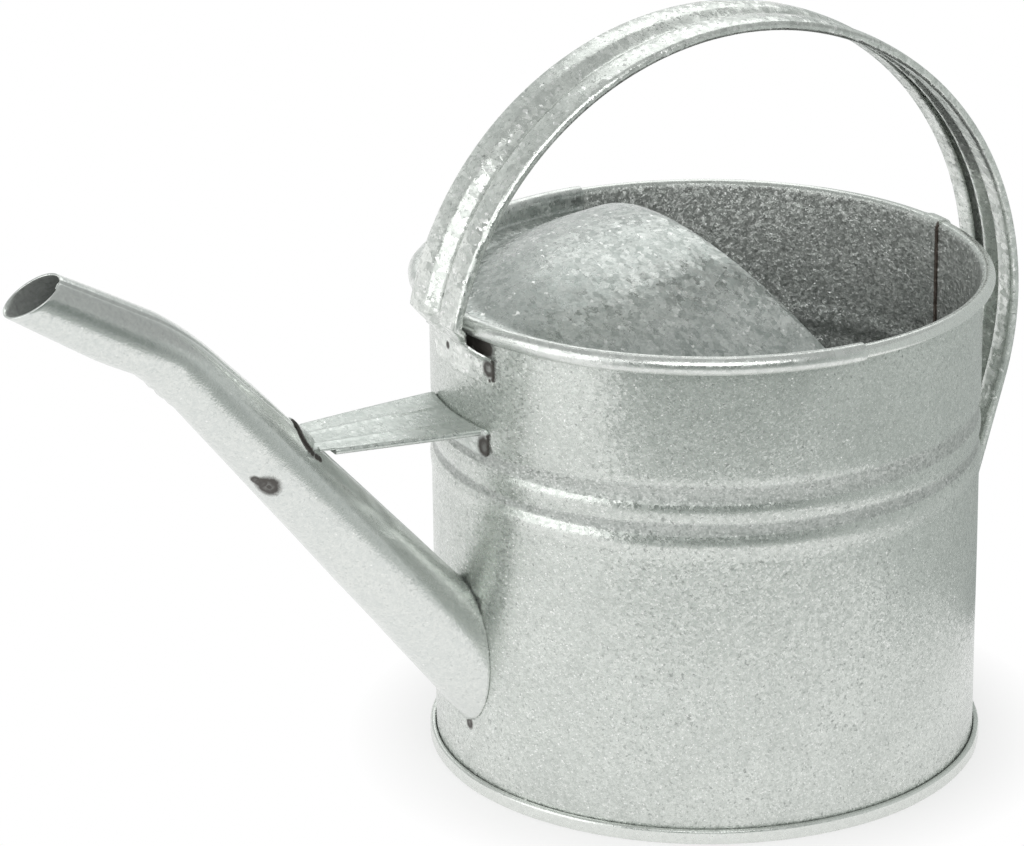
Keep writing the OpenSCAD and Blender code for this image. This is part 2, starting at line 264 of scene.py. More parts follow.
def zinc(name, light, dark, crystal, facet, rough, flecks=0.03, grain=0.5, pits=0.5, burns_and_shade=(),
         dull_inside=0.0, calm_and_sheen_outside=0.0, seam=False):
    """Hot-dip zinc. crystal is the spangle's size in mm, facet how far its crystals tilt, and flecks the
    share of bright ones. burns lists dark marks, weld burn marks and patches of painted shade where parts
    meet, as (x, y, z, radius, how light the middle is) in mm.
    Inside a radius of dull_inside about the can's axis the zinc is duller, and darker low down. Outside a
    radius of calm_and_sheen_outside it is smoother, and its colour is lighter as a painted sheen. seam
    draws the brown line of the side seam."""
    n = Nodes(name)
    place = n.vector("SCALE", n.add("TexCoord").outputs["Object"], scale=1 / MM)
    blur = n.add("TexNoise", Vector=place, Scale=0.35 / crystal, Detail=3.0)
    shaken = n.vector("ADD", place, n.vector("SCALE", blur.outputs["Color"], scale=crystal * 0.5))
    turned = n.add("Mapping", Vector=shaken, Rotation=(0.5, 0.9, 0.6), Scale=(1, 0.55, 1))
    cells = n.add("TexVoronoi", {"distance": "MANHATTAN"}, Vector=turned.outputs[0], Scale=1 / crystal)
    small = n.add("TexVoronoi", {"distance": "MANHATTAN"}, Vector=turned.outputs[0], Scale=2.3 / crystal)
    clouds = n.add("TexNoise", Vector=place, Scale=0.035, Detail=4.0, Roughness=0.6)
    fine = n.add("TexNoise", Vector=place, Scale=1.6, Detail=2.0)
    cell = n.add("SeparateColor", Color=cells.outputs["Color"])
    bit = n.add("SeparateColor", Color=small.outputs["Color"])

    # The rolled rims outside a radius of calm_and_sheen_outside were drawn over a tool, which smoothed
    # their crystals; their colour is also made lighter there, a painted sheen
    part = n.add("SeparateXYZ", Vector=place)
    axis = n.vector("LENGTH", n.add("CombineXYZ", X=part.outputs[0], Y=part.outputs[1]).outputs[0])
    drawn_and_sheen = n.range(axis, calm_and_sheen_outside + 0.2, calm_and_sheen_outside + 1) if calm_and_sheen_outside else 0.0
    lively = n.math("MULTIPLY_ADD", drawn_and_sheen, -0.75, 1.0)
    inside = n.range(axis, dull_inside + 0.1, dull_inside - 0.1) if dull_inside else 0.0

    # Colour: crystals, broken up by smaller ones, over a slow cloudy change
    tone = n.math("ADD", n.math("MULTIPLY", cell.outputs[0], 0.5), n.math("MULTIPLY", bit.outputs[0], 0.3))
    tone = n.math("ADD", tone, n.math("MULTIPLY", n.math("SUBTRACT", clouds.outputs["Fac"], 0.5), 0.9))
    tone = n.math("ADD", tone, n.math("MULTIPLY", n.math("SUBTRACT", fine.outputs["Fac"], 0.5), grain))
    tone = n.range(tone, 0.0, 0.9)
    colour = n.mix(tone, dark, light)
    # Fine dark pits and scratches, denser in some patches, and single bright crystals
    rough_noise = n.add("TexNoise", Vector=shaken, Scale=0.85, Detail=3.0, Roughness=0.62, Distortion=0.6)
    dense = n.math("MULTIPLY", n.math("SUBTRACT", clouds.outputs["Fac"], 0.5), 0.22)
    pit = n.range(n.math("ADD", rough_noise.outputs["Fac"], dense), 0.6, 0.7, 0.0, pits)
    colour = n.mix(pit, colour, (0.2, 0.215, 0.205, 1))
    least = n.math("MULTIPLY_ADD", inside, -0.1, 1 - flecks)
    bright = n.math("MULTIPLY", n.math("GREATER_THAN", bit.outputs[1], least), lively)
    colour = n.mix(n.math("MULTIPLY", bright, 0.8), colour, (0.95, 0.96, 0.94, 1))
    # Dark marks at the listed places: weld burn marks, and painted shade where parts meet
    burn_and_shade_mask = 0.0
    for x, y, z, radius, middle in burns_and_shade:
        far = n.vector("DISTANCE", place, (x, y, z))
        ragged = n.math("MULTIPLY", n.math("SUBTRACT", rough_noise.outputs["Fac"], 0.5), radius * 0.4)
        far = n.math("ADD", far, ragged)
        ring = n.range(far, radius, radius * 0.62)
        core = n.range(far, radius * 0.45, radius * 0.2)
        mark = n.math("SUBTRACT", ring, n.math("MULTIPLY", core, middle))
        burn_and_shade_mask = n.math("MAXIMUM", mark, burn_and_shade_mask)
    if calm_and_sheen_outside:
        # Painted sheen: the rims' colour is lightened towards pale grey
        colour = n.mix(n.math("MULTIPLY", drawn_and_sheen, 0.6), colour, (0.86, 0.88, 0.85, 1))
    if dull_inside:
        # Darker towards the bottom inside the can
        darker_low = n.math("MULTIPLY", n.range(part.outputs[2], 150.0, 75.0, 0.0, 0.5), inside)
        colour = n.mix(darker_low, colour, (0.08, 0.1, 0.1, 1))
    if seam:
        wander = n.math("SUBTRACT", fine.outputs["Fac"], 0.5)
        off = n.math("ABSOLUTE", n.math("ADD", part.outputs[1], wander))
        line = n.math("MULTIPLY", n.range(off, 0.8, 0.3), n.range(part.outputs[0], -60.0, -70.0))
        line = n.math("MULTIPLY", line, inside)
        colour = n.mix(line, colour, (0.15, 0.125, 0.105, 1))
        burn_and_shade_mask = n.math("MAXIMUM", n.math("MULTIPLY", line, 0.35), burn_and_shade_mask)
    # Weld burn marks, painted shade and the seam line darken the colour here
    if burns_and_shade or seam:
        colour = n.mix(n.math("MULTIPLY", burn_and_shade_mask, 0.95), colour, (0.05, 0.042, 0.036, 1))

    # Gloss: each crystal has its own, and the weld burn marks, the painted shade patches and the inside are
    # dull
    gloss = n.math("MULTIPLY_ADD", cell.outputs[2], 0.22, rough - 0.11)
    if calm_and_sheen_outside:
        gloss = n.math("MULTIPLY_ADD", drawn_and_sheen, -0.06, gloss)
    metallic = 0.8                           # the thin oxide on the zinc takes the rest
    if burns_and_shade or seam:
        gloss = n.math("ADD", gloss, n.math("MULTIPLY", burn_and_shade_mask, 0.25))
        metallic = n.math("MULTIPLY_ADD", burn_and_shade_mask, -0.5, metallic)
    if dull_inside:
        gloss = n.math("MULTIPLY_ADD", inside, 0.12, gloss)
        metallic = n.math("MULTIPLY_ADD", inside, -0.28, metallic)

    # Relief: every crystal is a facet with a small tilt of its own, under a fine grain
    tilt = n.vector("SUBTRACT", cells.outputs["Color"], (0.5, 0.5, 0.5))
    tilt2 = n.vector("SUBTRACT", small.outputs["Color"], (0.5, 0.5, 0.5))
    tilt = n.vector("ADD", tilt, n.vector("SCALE", tilt2, scale=0.7))
    amount = n.math("MULTIPLY", n.math("MULTIPLY_ADD", bright, facet * 1.5, facet), lively)
    if dull_inside:
        amount = n.math("MULTIPLY_ADD", inside, facet * 4, amount)
    tilt = n.vector("SCALE", tilt, scale=amount)
    normal = n.vector("ADD", n.add("NewGeometry").outputs["Normal"], tilt)
    normal = n.vector("NORMALIZE", normal)
    height = n.math("SUBTRACT", fine.outputs["Fac"], pit)
    relief = n.add("Bump", Strength=0.4, Distance=0.12 * MM, Height=height, Normal=normal)

    shader = n.add("BsdfPrincipled")
    n.put(shader, "Base Color", colour)
    n.put(shader, "Metallic", metallic)
    n.put(shader, "Roughness", gloss)
    n.put(shader, "Normal", relief.outputs["Normal"])
    n.add("OutputMaterial", Surface=shader.outputs[0])
    return n.material


# ---------------------------------------------------------------- wall

def bead_offset(drop):
    """Offset of the wall from its plain radius at a distance below the rim."""
    for (a, x), (b, y) in zip(BEADS, BEADS[1:]):
        if a <= drop <= b:
            return x + (y - x) * smooth_step(a, b, drop)
    return 0


def wall_profile(inwards):
    """The rolled wall's section, moved inwards: (radius, height) from the foot to the curl."""
    middle, flange_z = WALL_MID - inwards, 1.1 + inwards
    foot = rounded([(BODY_R + 1.2, flange_z), (middle, flange_z), (middle, 4)], 0.8)
    heights = [6, 12, 20, 30, 40, 50, 60, 70, 80, 88]
    heights += list(np.arange(RIM_TOP - BEADS[-1][0] - 2, RIM_TOP - BEADS[0][0] + 2, 0.8))
    heights += list(np.arange(RIM_TOP - BEADS[0][0] + 5, CURL_Z - 2, 5)) + [CURL_Z - 1]
    wall = [(middle + bead_offset(RIM_TOP - z), z) for z in heights]
    curl = arc((CURL_X, CURL_Z), CURL_R - SHEET / 2 + inwards, 180, -150, 26)
    return foot + wall + curl


def make_wall(material):
    """One rolled sheet: its inner end laps under its outer end at the back."""
    overlap = 3.8
    seam = 180 + overlap
    turns = [seam - overlap, seam - 2, seam, seam + 0.8, seam + 1.6, seam + 2.4, seam + 4]
    turns += list(np.linspace(seam + 6, seam + 358, 286)) + [seam + 359.2, seam + 360]
    columns = []
    for turn in turns:
        inwards = (SHEET + LAP) * (1 - smooth_step(seam + 0.6, seam + 3, turn))
        t = math.radians(turn)
        column = []
        for r, z in wall_profile(inwards):
            r += uneven((math.cos(t) * 90, math.sin(t) * 90, z), 0.14, 45) * smooth_step(8, 30, z)
            column.append((r * math.cos(t), r * math.sin(t), z))
        columns.append(column)
    surface = Surface()
    surface.grid(columns)
    bore = spout_bore()
    piece = surface.piece("wall", "body_wall", material, "wall_zinc", weld=0.01, cutter=bore)
    bpy.data.objects.remove(bore)
    return piece


def spout_bore():
    """The hole that the spout's inside makes in the wall, as a cutting tool."""
    along = Vector((math.cos(LOW_ANGLE), 0, math.sin(LOW_ANGLE)))
    bm = bmesh.new()
    inside = ROOT_TUBE_R - SHEET
    bmesh.ops.create_cone(bm, cap_ends=True, segments=64, radius1=inside, radius2=inside, depth=60)
    mesh = bpy.data.meshes.new("bore")
    bm.to_mesh(mesh)
    bm.free()
    turn = along.to_track_quat("Z", "Y").to_matrix().to_4x4()
    mesh.transform(Matrix.Scale(MM, 4) @ Matrix.Translation(SPOUT_ROOT) @ turn)
    bore = bpy.data.objects.new("bore", mesh)
    bpy.context.scene.collection.objects.link(bore)
    return bore


# ---------------------------------------------------------------- base

def make_base(material):
    """The base sheet, folded down at the wall and up again around the wall's foot."""
    inside = BODY_R - SHEET - LAP - SHEET / 2
    band = BODY_R + CHIME_OUT - SHEET / 2
    floor_z, ring_z, low, high = 2.85, 3.3, SHEET / 2, CHIME_H - SHEET / 2
    hub = 0.4
    path = rounded([(hub, floor_z), (inside - 9, floor_z), (inside - 6, ring_z), (inside, ring_z),
                    (inside, low), (band, low), (band, high), (BODY_R + 0.35, high)], 0.7)
    path = spaced(path, 12)
    turns = np.radians(np.arange(0, 360, 1.25))
    rows = []
    for turn in turns:
        column = []
        for r, z in path:
            ripple = uneven((math.cos(turn) * 90, math.sin(turn) * 90, 0), 0.12, 14)
            out = r + ripple * smooth_step(BODY_R, band, r) - 0.12 * smooth_step(BODY_R, band, r)
            column.append((out * math.cos(turn), out * math.sin(turn), z))
        rows.append(column)
    surface = Surface()
    surface.grid(list(zip(*rows)), loop=True)
    surface.grid([[(hub * math.cos(t), hub * math.sin(t), floor_z) for t in turns],
                  [(0, 0, floor_z)] * len(turns)], loop=True)
    return surface.piece("base_pan", "base", material, "base_zinc")


# ---------------------------------------------------------------- hood

def dome_z(x, y):
    """Height of the dome, a part of a sphere."""
    return BRIM_Z + DOME_RISE - DOME_R + math.sqrt(DOME_R ** 2 - (x * x + y * y))


def make_hood(material):
    """One pressed sheet: wrapped over the rim, down to a brim and up into a dome with a bowed free edge."""
    wrap = arc((CURL_X, CURL_Z), CURL_R + 0.02 + SHEET / 2, -62, 180, 28)
    drop = rounded([wrap[-1], (HOOD_MID, BRIM_Z), (DOME_FOOT + 0.9, BRIM_Z),
                    (DOME_FOOT - 2.2, BRIM_Z + 2.2 * DOME_FOOT / DOME_R)], 1.6, 5)
    section = spaced(wrap + drop[1:], 2.5)

    def bulge(turn, r):
        """The wrap stands out further on one side of the handle's foot."""
        swell = 2.3 * bump(turn, -33, 21) - 0.12
        return swell * smooth_step(CURL_X - 3, CURL_X + 3, r)

    bow_r = (BODY_R ** 2 + HOOD_BOW ** 2) / (2 * HOOD_BOW)
    bow_x = HOOD_BOW - HOOD_PAST - bow_r

    def end_turn(r):
        """Half the angle that the sheet covers at a radius: to the wrap's end or to the bowed free edge."""
        if r > HOOD_MID - 0.3:
            return HOOD_END
        turn = 90
        for _ in range(4):
            side = r * math.sin(math.radians(turn))
            turn = math.degrees(math.acos((bow_x + math.sqrt(bow_r ** 2 - side ** 2)) / r))
        return turn

    count = 150
    surface = Surface()
    rows = []
    for r, z in section:
        row = []
        for turn in np.linspace(-end_turn(r), end_turn(r), count + 1):
            t = math.radians(turn)
            x, y = 90 * math.cos(t), 90 * math.sin(t)
            out = r + bulge(turn, r) + uneven((x, y, z), 0.16, 16)
            row.append((out * math.cos(t), out * math.sin(t), z + uneven((x, 7, y), 0.12, 12)))
        rows.append(row)
    inner = rows[-1]
    surface.grid(rows)

    # The dome: rings between its middle and its outline, which is the foot and the free edge
    ends = Vector(inner[0]), Vector(inner[-1])
    steps = 90
    edge = []
    for i in range(1, steps):
        y = ends[1].y + (ends[0].y - ends[1].y) * i / steps
        edge.append((bow_x + math.sqrt(bow_r ** 2 - y * y), y))
    outline = [(p[0], p[1]) for p in inner] + edge
    pole = Vector((46, 0))
    rings = 34
    disc = []
    for k in range(rings + 1):
        share = (k / rings) ** 0.9
        ring = []
        for j, (x, y) in enumerate(outline):
            p = pole.lerp(Vector((x, y)), share)
            z = dome_z(p.x, p.y) + uneven((p.x, p.y, 0), 0.35, 26) * (1 - share ** 4)
            if k == rings and j <= count:
                z = inner[j][2]
            if j > count:                    # the free edge turns down a little
                z -= 0.5 * smooth_step(0.93, 1, share)
            ring.append((p.x, p.y, z))
        disc.append(ring)
    surface.grid(disc, loop=True)
    return surface.piece("hood_cover", "hood", material, "hood_zinc")


# ---------------------------------------------------------------- spout

def spout_point(s):
    """Place and direction on the spout's axis at a length from the wall, and the radius there."""
    tangent = BEND_R * math.tan(BEND_TURN / 2)
    low, bent = LOW_LEN - tangent, BEND_R * BEND_TURN
    upper = UP_LEN - tangent
    d1 = Vector((math.cos(LOW_ANGLE), 0, math.sin(LOW_ANGLE)))
    d2 = Vector((math.cos(UP_ANGLE), 0, math.sin(UP_ANGLE)))
    if s <= low:
        return SPOUT_ROOT + d1 * s, d1, ROOT_TUBE_R + (BEND_TUBE_R - ROOT_TUBE_R) * s / low
    start = SPOUT_ROOT + d1 * low
    if s <= low + bent:
        a = LOW_ANGLE - (s - low) / BEND_R
        centre = start + Vector((math.sin(LOW_ANGLE), 0, -math.cos(LOW_ANGLE))) * BEND_R
        return (centre + Vector((-math.sin(a), 0, math.cos(a))) * BEND_R,
                Vector((math.cos(a), 0, math.sin(a))), BEND_TUBE_R)
    end = start + d1 * tangent + d2 * tangent
    share = (s - low - bent) / upper
    return end + d2 * (s - low - bent), d2, BEND_TUBE_R + (TIP_TUBE_R - BEND_TUBE_R) * share


# The axis cuts the bend's corner, so it is a little shorter than its two straight lengths
BEND_TURN = LOW_ANGLE - UP_ANGLE
SPOUT_LEN = LOW_LEN + UP_LEN - (2 * math.tan(BEND_TURN / 2) - BEND_TURN) * BEND_R


def around(angle, middle):
    """The smallest difference between two angles in degrees."""
    return (angle - middle + 180) % 360 - 180


def tube_point(s, angle):
    """A point on the middle of the spout's sheet. The angle starts at +Y and turns towards the top."""
    p, along, r = spout_point(s)
    up = Vector((-along.z, 0, along.x))
    r -= SHEET / 2
    # The sheet's inner end lies under its outer end at the seam
    r -= (SHEET + LAP) * (1 - smooth_step(SPOUT_SEAM + 1, SPOUT_SEAM + 9, angle))
    angle -= SPOUT_TWIST * smooth_step(60, 150, s)
    t = math.radians(angle)
    # The bend is drawn in on its inside, with wrinkles, and a little flattened on its outside
    bend = LOW_LEN - 4
    under = bump(around(angle, -90), 0, 42)
    r -= 1.3 * bump(s, bend + 13, 9) * under
    for k, height in enumerate((0.35, 0.6, 0.5, 0.3)):
        r += height * bump(s, bend - 6 + k * 5.4, 1.6) * bump(around(angle, -96 + 9 * (k % 2)), 0, 30)
    r -= 0.45 * bump(s, bend + 3, 5) * bump(around(angle, -22), 0, 24)
    r -= 0.7 * bump(s, bend + 2, 18) * bump(around(angle, 90), 0, 38)
    # A shallow dent around the weld
    d = math.hypot(p.x - SPOUT_WELD[0], p.z - SPOUT_WELD[1])
    r -= 0.35 * bump(d, 0, 3.2) * bump(around(angle, 0), 0, 25)
    r += uneven((s, 20 * math.cos(t), 20 * math.sin(t)), 0.1, 22)
    side = Vector((0, 1, 0)) * math.cos(t) + up * math.sin(t)
    return p + side * r


def make_spout(material):
    """A rolled tube with a lapped seam along its top, trimmed to the wall and cut slanting at the mouth."""
    mouth = spout_point(SPOUT_LEN)[0]
    cut = Vector((math.cos(UP_ANGLE + MOUTH_CUT), 0, math.sin(UP_ANGLE + MOUTH_CUT)))
    angles = [SPOUT_SEAM - 12, SPOUT_SEAM - 6] + [SPOUT_SEAM + a for a in (0, 1, 3, 5, 7, 9)]
    angles += list(np.linspace(SPOUT_SEAM + 12, SPOUT_SEAM + 360, 106))
    starts, stops = [], []
    for angle in angles:
        low, high = -30.0, 30.0
        for _ in range(26):
            middle = (low + high) / 2
            p = tube_point(middle, angle)
            low, high = (middle, high) if math.hypot(p.x, p.y) < BODY_R + 0.03 else (low, middle)
        starts.append(low)
        low, high = SPOUT_LEN - 20, SPOUT_LEN + 20
        for _ in range(26):
            middle = (low + high) / 2
            p = tube_point(middle, angle)
            low, high = (middle, high) if (p - mouth).dot(cut) < 0 else (low, middle)
        stops.append(low)
    rows = []
    count = 150
    for i in range(count + 1):
        share = i / count
        row = []
        for angle, start, stop in zip(angles, starts, stops):
            row.append(tube_point(start + (stop - start) * share, angle))
        rows.append(row)
    surface = Surface()
    surface.grid(rows)
    return surface.piece("spout_tube", "spout", material, "spout_zinc", weld=0.01)


# ---------------------------------------------------------------- brace

def spout_top(y, s):
    """A point on top of the spout's outside, at a side distance y and a length s along its axis."""
    p, along, r = spout_point(s)
    up = Vector((-along.z, 0, along.x))
    return p + Vector((0, y, 0)) + up * math.sqrt(max(r * r - y * y, 0.01))


def brace_end():
    """Where the brace's web meets the top of the spout, as a length along the spout's axis."""
    low, high = 40.0, 120.0
    for _ in range(30):
        middle = (low + high) / 2
        p = spout_top(0, middle)
        low, high = (middle, high) if p.z < BRACE_Z + (p.x - BODY_R) * BRACE_SLOPE else (low, middle)
    return low


def tongue_half(reach):
    """Half the width of the brace's tongue at a distance along the spout."""
    return TONGUE_HALF * (1 - (reach / TONGUE_LEN) ** TONGUE_ROUND) ** (1 / TONGUE_ROUND)


def tongue_burns_and_shade(radius, first):
    """Dark marks along the outline of the brace's tongue, from the turn first, in degrees, to its tip: weld
    burn marks, and painted shade of the gap under the tongue's edge.
    """
    start = brace_end()
    burns_and_shade = []
    for turn in np.radians(np.linspace(first, 90, 14)):
        side = TONGUE_HALF * math.cos(turn) ** (2 / TONGUE_ROUND)
        reach = TONGUE_LEN * math.copysign(abs(math.sin(turn)) ** (2 / TONGUE_ROUND), turn)
        burns_and_shade.append((*spout_top(side + 0.2, start + reach), radius, 0))
    return tuple(burns_and_shade)


def make_brace(material):
    """One folded sheet: a tab on the wall, a tapering web with hemmed edges and a tongue on the spout."""
    wall_half, tip_half, tab_half = 19, 11.5, 20.5   # half widths: web at the wall and the spout, tab
    half_t = SHEET / 2
    seat = half_t + 0.05
    spout_s = brace_end()
    tip = spout_top(0, spout_s)
    wall_x = BODY_R + seat
    rows = []
    across = np.linspace(-1, 1, 49)

    # Tab: from its lower edge up to the bend
    tab_low, bend_r = 9.3, 1.4
    for drop in (tab_low, tab_low - 0.8, 7, 5, 3, bend_r + 0.2):
        row = []
        taper = min(1, 0.955 + 0.045 * (tab_low - drop))
        for w in across:
            a = (BRACE_SHIFT + w * tab_half * taper) / BODY_R
            row.append((wall_x * math.cos(a), wall_x * math.sin(a), BRACE_Z - half_t - drop))
        rows.append(row)
    # Bend: a small round at the wall, where the tab's ends come down to the web's width
    for t in np.radians((15, 45, 75)):
        row = []
        for w in across:
            half = tab_half + (wall_half - tab_half) * (t / (math.pi / 2))
            y = BRACE_SHIFT + w * half
            r = wall_x + bend_r * (1 - math.cos(t))
            z = BRACE_Z - half_t - bend_r * (1 - math.sin(t))
            row.append((math.sqrt(r * r - y * y), y, z))
        rows.append(row)
    hem_start = len(rows)
    # Web: straight to the spout, with two light lengthwise creases
    for share in np.linspace(0, 1, 22):
        middle, half = BRACE_SHIFT * (1 - share), wall_half + (tip_half - wall_half) * share
        row = []
        for w in across:
            y = middle + w * half
            start = math.sqrt((wall_x + bend_r + 0.6) ** 2 - y * y)
            stop = tip.x + 0.2 + 0.012 * y * y
            x = start + (stop - start) * share
            z = BRACE_Z - half_t + (x - BODY_R) * BRACE_SLOPE
            z += 0.3 * bump(abs(w - 0.12), 0.42, 0.06) * smooth_step(0, 0.1, share)  # the creases
            row.append((x, y, z))
        rows.append(row)
    hem_stop = len(rows) - 2
    surface = Surface()
    surface.grid(rows)

    # Hems: each long edge turns down and under
    hem_r = 0.75
    for sign in (-1, 1):
        strip = []
        for row in rows[hem_start:hem_stop]:
            edge = Vector(row[-1] if sign > 0 else row[0])
            out = Vector((0, sign, 0))
            line = [edge]
            for t in np.radians((30, 60, 90, 120, 150, 180)):
                line.append(edge + out * hem_r * math.sin(t) - Vector((0, 0, hem_r * (1 - math.cos(t)))))
            for reach in (1.6, 3.2, 4.8):
                line.append(edge - out * reach - Vector((0, 0, hem_r * 2)))
            strip.append(line)
        surface.grid(strip)

    # Tongue: bent up along the top of the spout
    join = rows[-1]
    inner = [k for k, w in enumerate(across) if abs(w * tip_half) <= tongue_half(0) + 0.3]
    tongue = [[join[k] for k in inner]]
    for reach in (0.9, 2, 3.2, 4.5, 5.8, 6.9, 7.7, 8.3, 8.7, 8.9):
        row = []
        for k in inner:
            y = across[k] / abs(across[inner[0]]) * tongue_half(reach)
            p, along, r = spout_point(spout_s + reach)
            up = Vector((-along.z, 0, along.x))
            r += seat
            row.append(p + Vector((0, y, 0)) + up * math.sqrt(r * r - y * y))
        tongue.append(row)
    surface.grid(tongue)
    return surface.piece("brace_strut", "brace", material, "brace_zinc")


# ---------------------------------------------------------------- handle

def strap_section():
    """The strap's section: (across, outwards) from one hem's free edge to the other."""
    depth = STRAP_DEPTH - SHEET
    crown = 0.35
    crest = depth - crown
    roll = 1.3
    hem = 8.6
    side = STRAP_HALF - SHEET / 2 - roll
    half = [(0.0, 0.05), (0.7, 0.15), (1.5, 0.5), (3.2, crest * 0.52), (4.9, crest * 0.93),
            (5.7, crest + 0.1), (7.4, crest + crown * 0.75), (9.8, crest + crown),
            (12.2, crest + crown * 0.7), (side, crest)]
    turn = [(side + roll * math.sin(t), crest - roll * (1 - math.cos(t)))
            for t in np.radians((20, 42, 65, 90, 115, 138, 160, 180))]
    under = [(side - x, crest - 2 * roll + 0.05 * x) for x in (1.8, 3.6, 5.5, hem - roll)]
    half = half + turn + under
    return [(-x, h) for x, h in reversed(half[1:])] + half


def strap_frames():
    """Places along the arch of the strap's crest line, from the front: (point, outward direction)."""
    front = math.asin((FRONT_FOOT_Z - ARCH_Z) / ARCH_R)
    back = math.pi + BACK_LEG
    frames = []
    for a in np.linspace(front, back, 132):
        frames.append((Vector((ARCH_X + ARCH_R * math.cos(a), 0, ARCH_Z + ARCH_R * math.sin(a))),
                       Vector((math.cos(a), 0, math.sin(a)))))
    return frames


def strap_row(point, out):
    """The strap's section at a point of its crest line."""
    return [point + Vector((0, x, 0)) + out * (h - (STRAP_DEPTH - SHEET / 2)) for x, h in strap_section()]


def make_handle(material):
    """A grooved strap with rolled and hemmed edges, whose ends turn in to the wall and lie on it."""
    surface = Surface()
    rows = []
    frames = strap_frames()
    # Front foot: the plate slopes in from the strap's end to the wall, then lies on it as a tab
    start, out = frames[0]
    foot(rows, start, out, 1)
    rows.reverse()
    for point, out in frames:
        rows.append(strap_row(point, out))
    # Back leg: straight down to the wall
    along = Vector((math.sin(BACK_LEG), 0, -math.cos(BACK_LEG)))
    end, out = frames[-1]
    reach = (-(BODY_R + STRAP_DEPTH + 0.1) - end.x) / along.x
    for share in np.linspace(0.03, 1, 34):
        rows.append(strap_row(end + along * reach * share, out))
    tail = []
    foot(tail, end + along * reach, out, -1)
    rows += tail[1:]
    surface.grid(rows)
    return surface.piece("handle_strap", "handle", material, "handle_zinc", edge=0.14)


def foot(rows, point, out, sign):
    """Adds the rows of a foot, from the strap's end to the tab's lower edge. sign is +1 for the front."""
    inward = Vector((-sign * math.sin(FOOT_SLOPE), 0, -math.cos(FOOT_SLOPE)))
    plate = point - out * (SHEET / 2)
    wall = BODY_R + SHEET / 2 + 0.06
    reach = (abs(plate.x) - wall) / math.sin(FOOT_SLOPE)
    section = strap_row(point, out)
    rows.append(section)
    count = len(section)
    neck = STRAP_HALF * 0.86                 # half the width where the plate starts
    steps = 9
    for i in range(1, steps + 1):
        share = i / steps
        row = []
        for k, p in enumerate(section):
            flat = smooth_step(0.12, 0.72, share)
            w = 2 * k / (count - 1) - 1
            half = neck + (FOOT_HALF - neck) * smooth_step(0.25, 1, share)
            y = p.y + (w * half - p.y) * flat
            at = plate + inward * reach * share
            depth = (plate - p).dot(out) * (1 - flat)
            x = abs(at.x) - depth
            r_wall = math.sqrt(wall * wall - y * y)
            x = max(x, r_wall) if share < 1 else r_wall
            x = x + (r_wall - x) * smooth_step(0.55, 1, share)
            row.append((sign * x, y, at.z))
        rows.append(row)
    low = rows[-1][0][2]
    for drop in (1.0, 2.5, 4.0, 5.6, FOOT_TAB - 0.8, FOOT_TAB):
        row = []
        for k in range(count):
            w = 2 * k / (count - 1) - 1
            y = w * FOOT_HALF * (0.965 if drop == FOOT_TAB else 1)
            row.append((sign * math.sqrt(wall * wall - y * y), y, low - drop))
        rows.append(row)


# ---------------------------------------------------------------- stage, lamps and camera

def make_floor():
    """A white floor that keeps the can's shadow."""
    n = Nodes("floor")
    path = n.add("LightPath")
    seen = n.math("MAXIMUM", path.outputs["Is Camera Ray"], path.outputs["Is Glossy Ray"])
    seen = n.math("MAXIMUM", seen, path.outputs["Is Transmission Ray"])
    matt = n.add("BsdfDiffuse", Color=(0.8, 0.8, 0.79, 1))
    white = n.add("Emission", Color=(1, 1, 1, 1), Strength=1.0)
    # The object's contact shadow stays as a darker tone close around its foot
    place = n.vector("SCALE", n.add("TexCoord").outputs["Object"], scale=1 / MM)
    near = n.add("SeparateXYZ", Vector=place)
    radius = n.vector("LENGTH", n.add("CombineXYZ", X=near.outputs[0], Y=near.outputs[1]).outputs[0])
    shade = n.range(radius, BODY_R + 2, BODY_R + 30, 0.3, 0.0)
    keep = n.math("MULTIPLY", seen, n.math("SUBTRACT", 1.0, shade))
    mixed = n.add("MixShader", i0=keep, i1=matt.outputs[0], i2=white.outputs[0])
    n.add("OutputMaterial", Surface=mixed.outputs[0])
    mesh = bpy.data.meshes.new("floor")
    half = 3.0
    corners = [(-half, -half, 0), (half, -half, 0), (half, half, 0), (-half, half, 0)]
    mesh.from_pydata(corners, [], [(0, 1, 2, 3)])
    floor = bpy.data.objects.new("floor", mesh)
    bpy.context.scene.collection.objects.link(floor)
    floor.location.z = -0.0004               # just below the base
    mesh.materials.append(n.material)


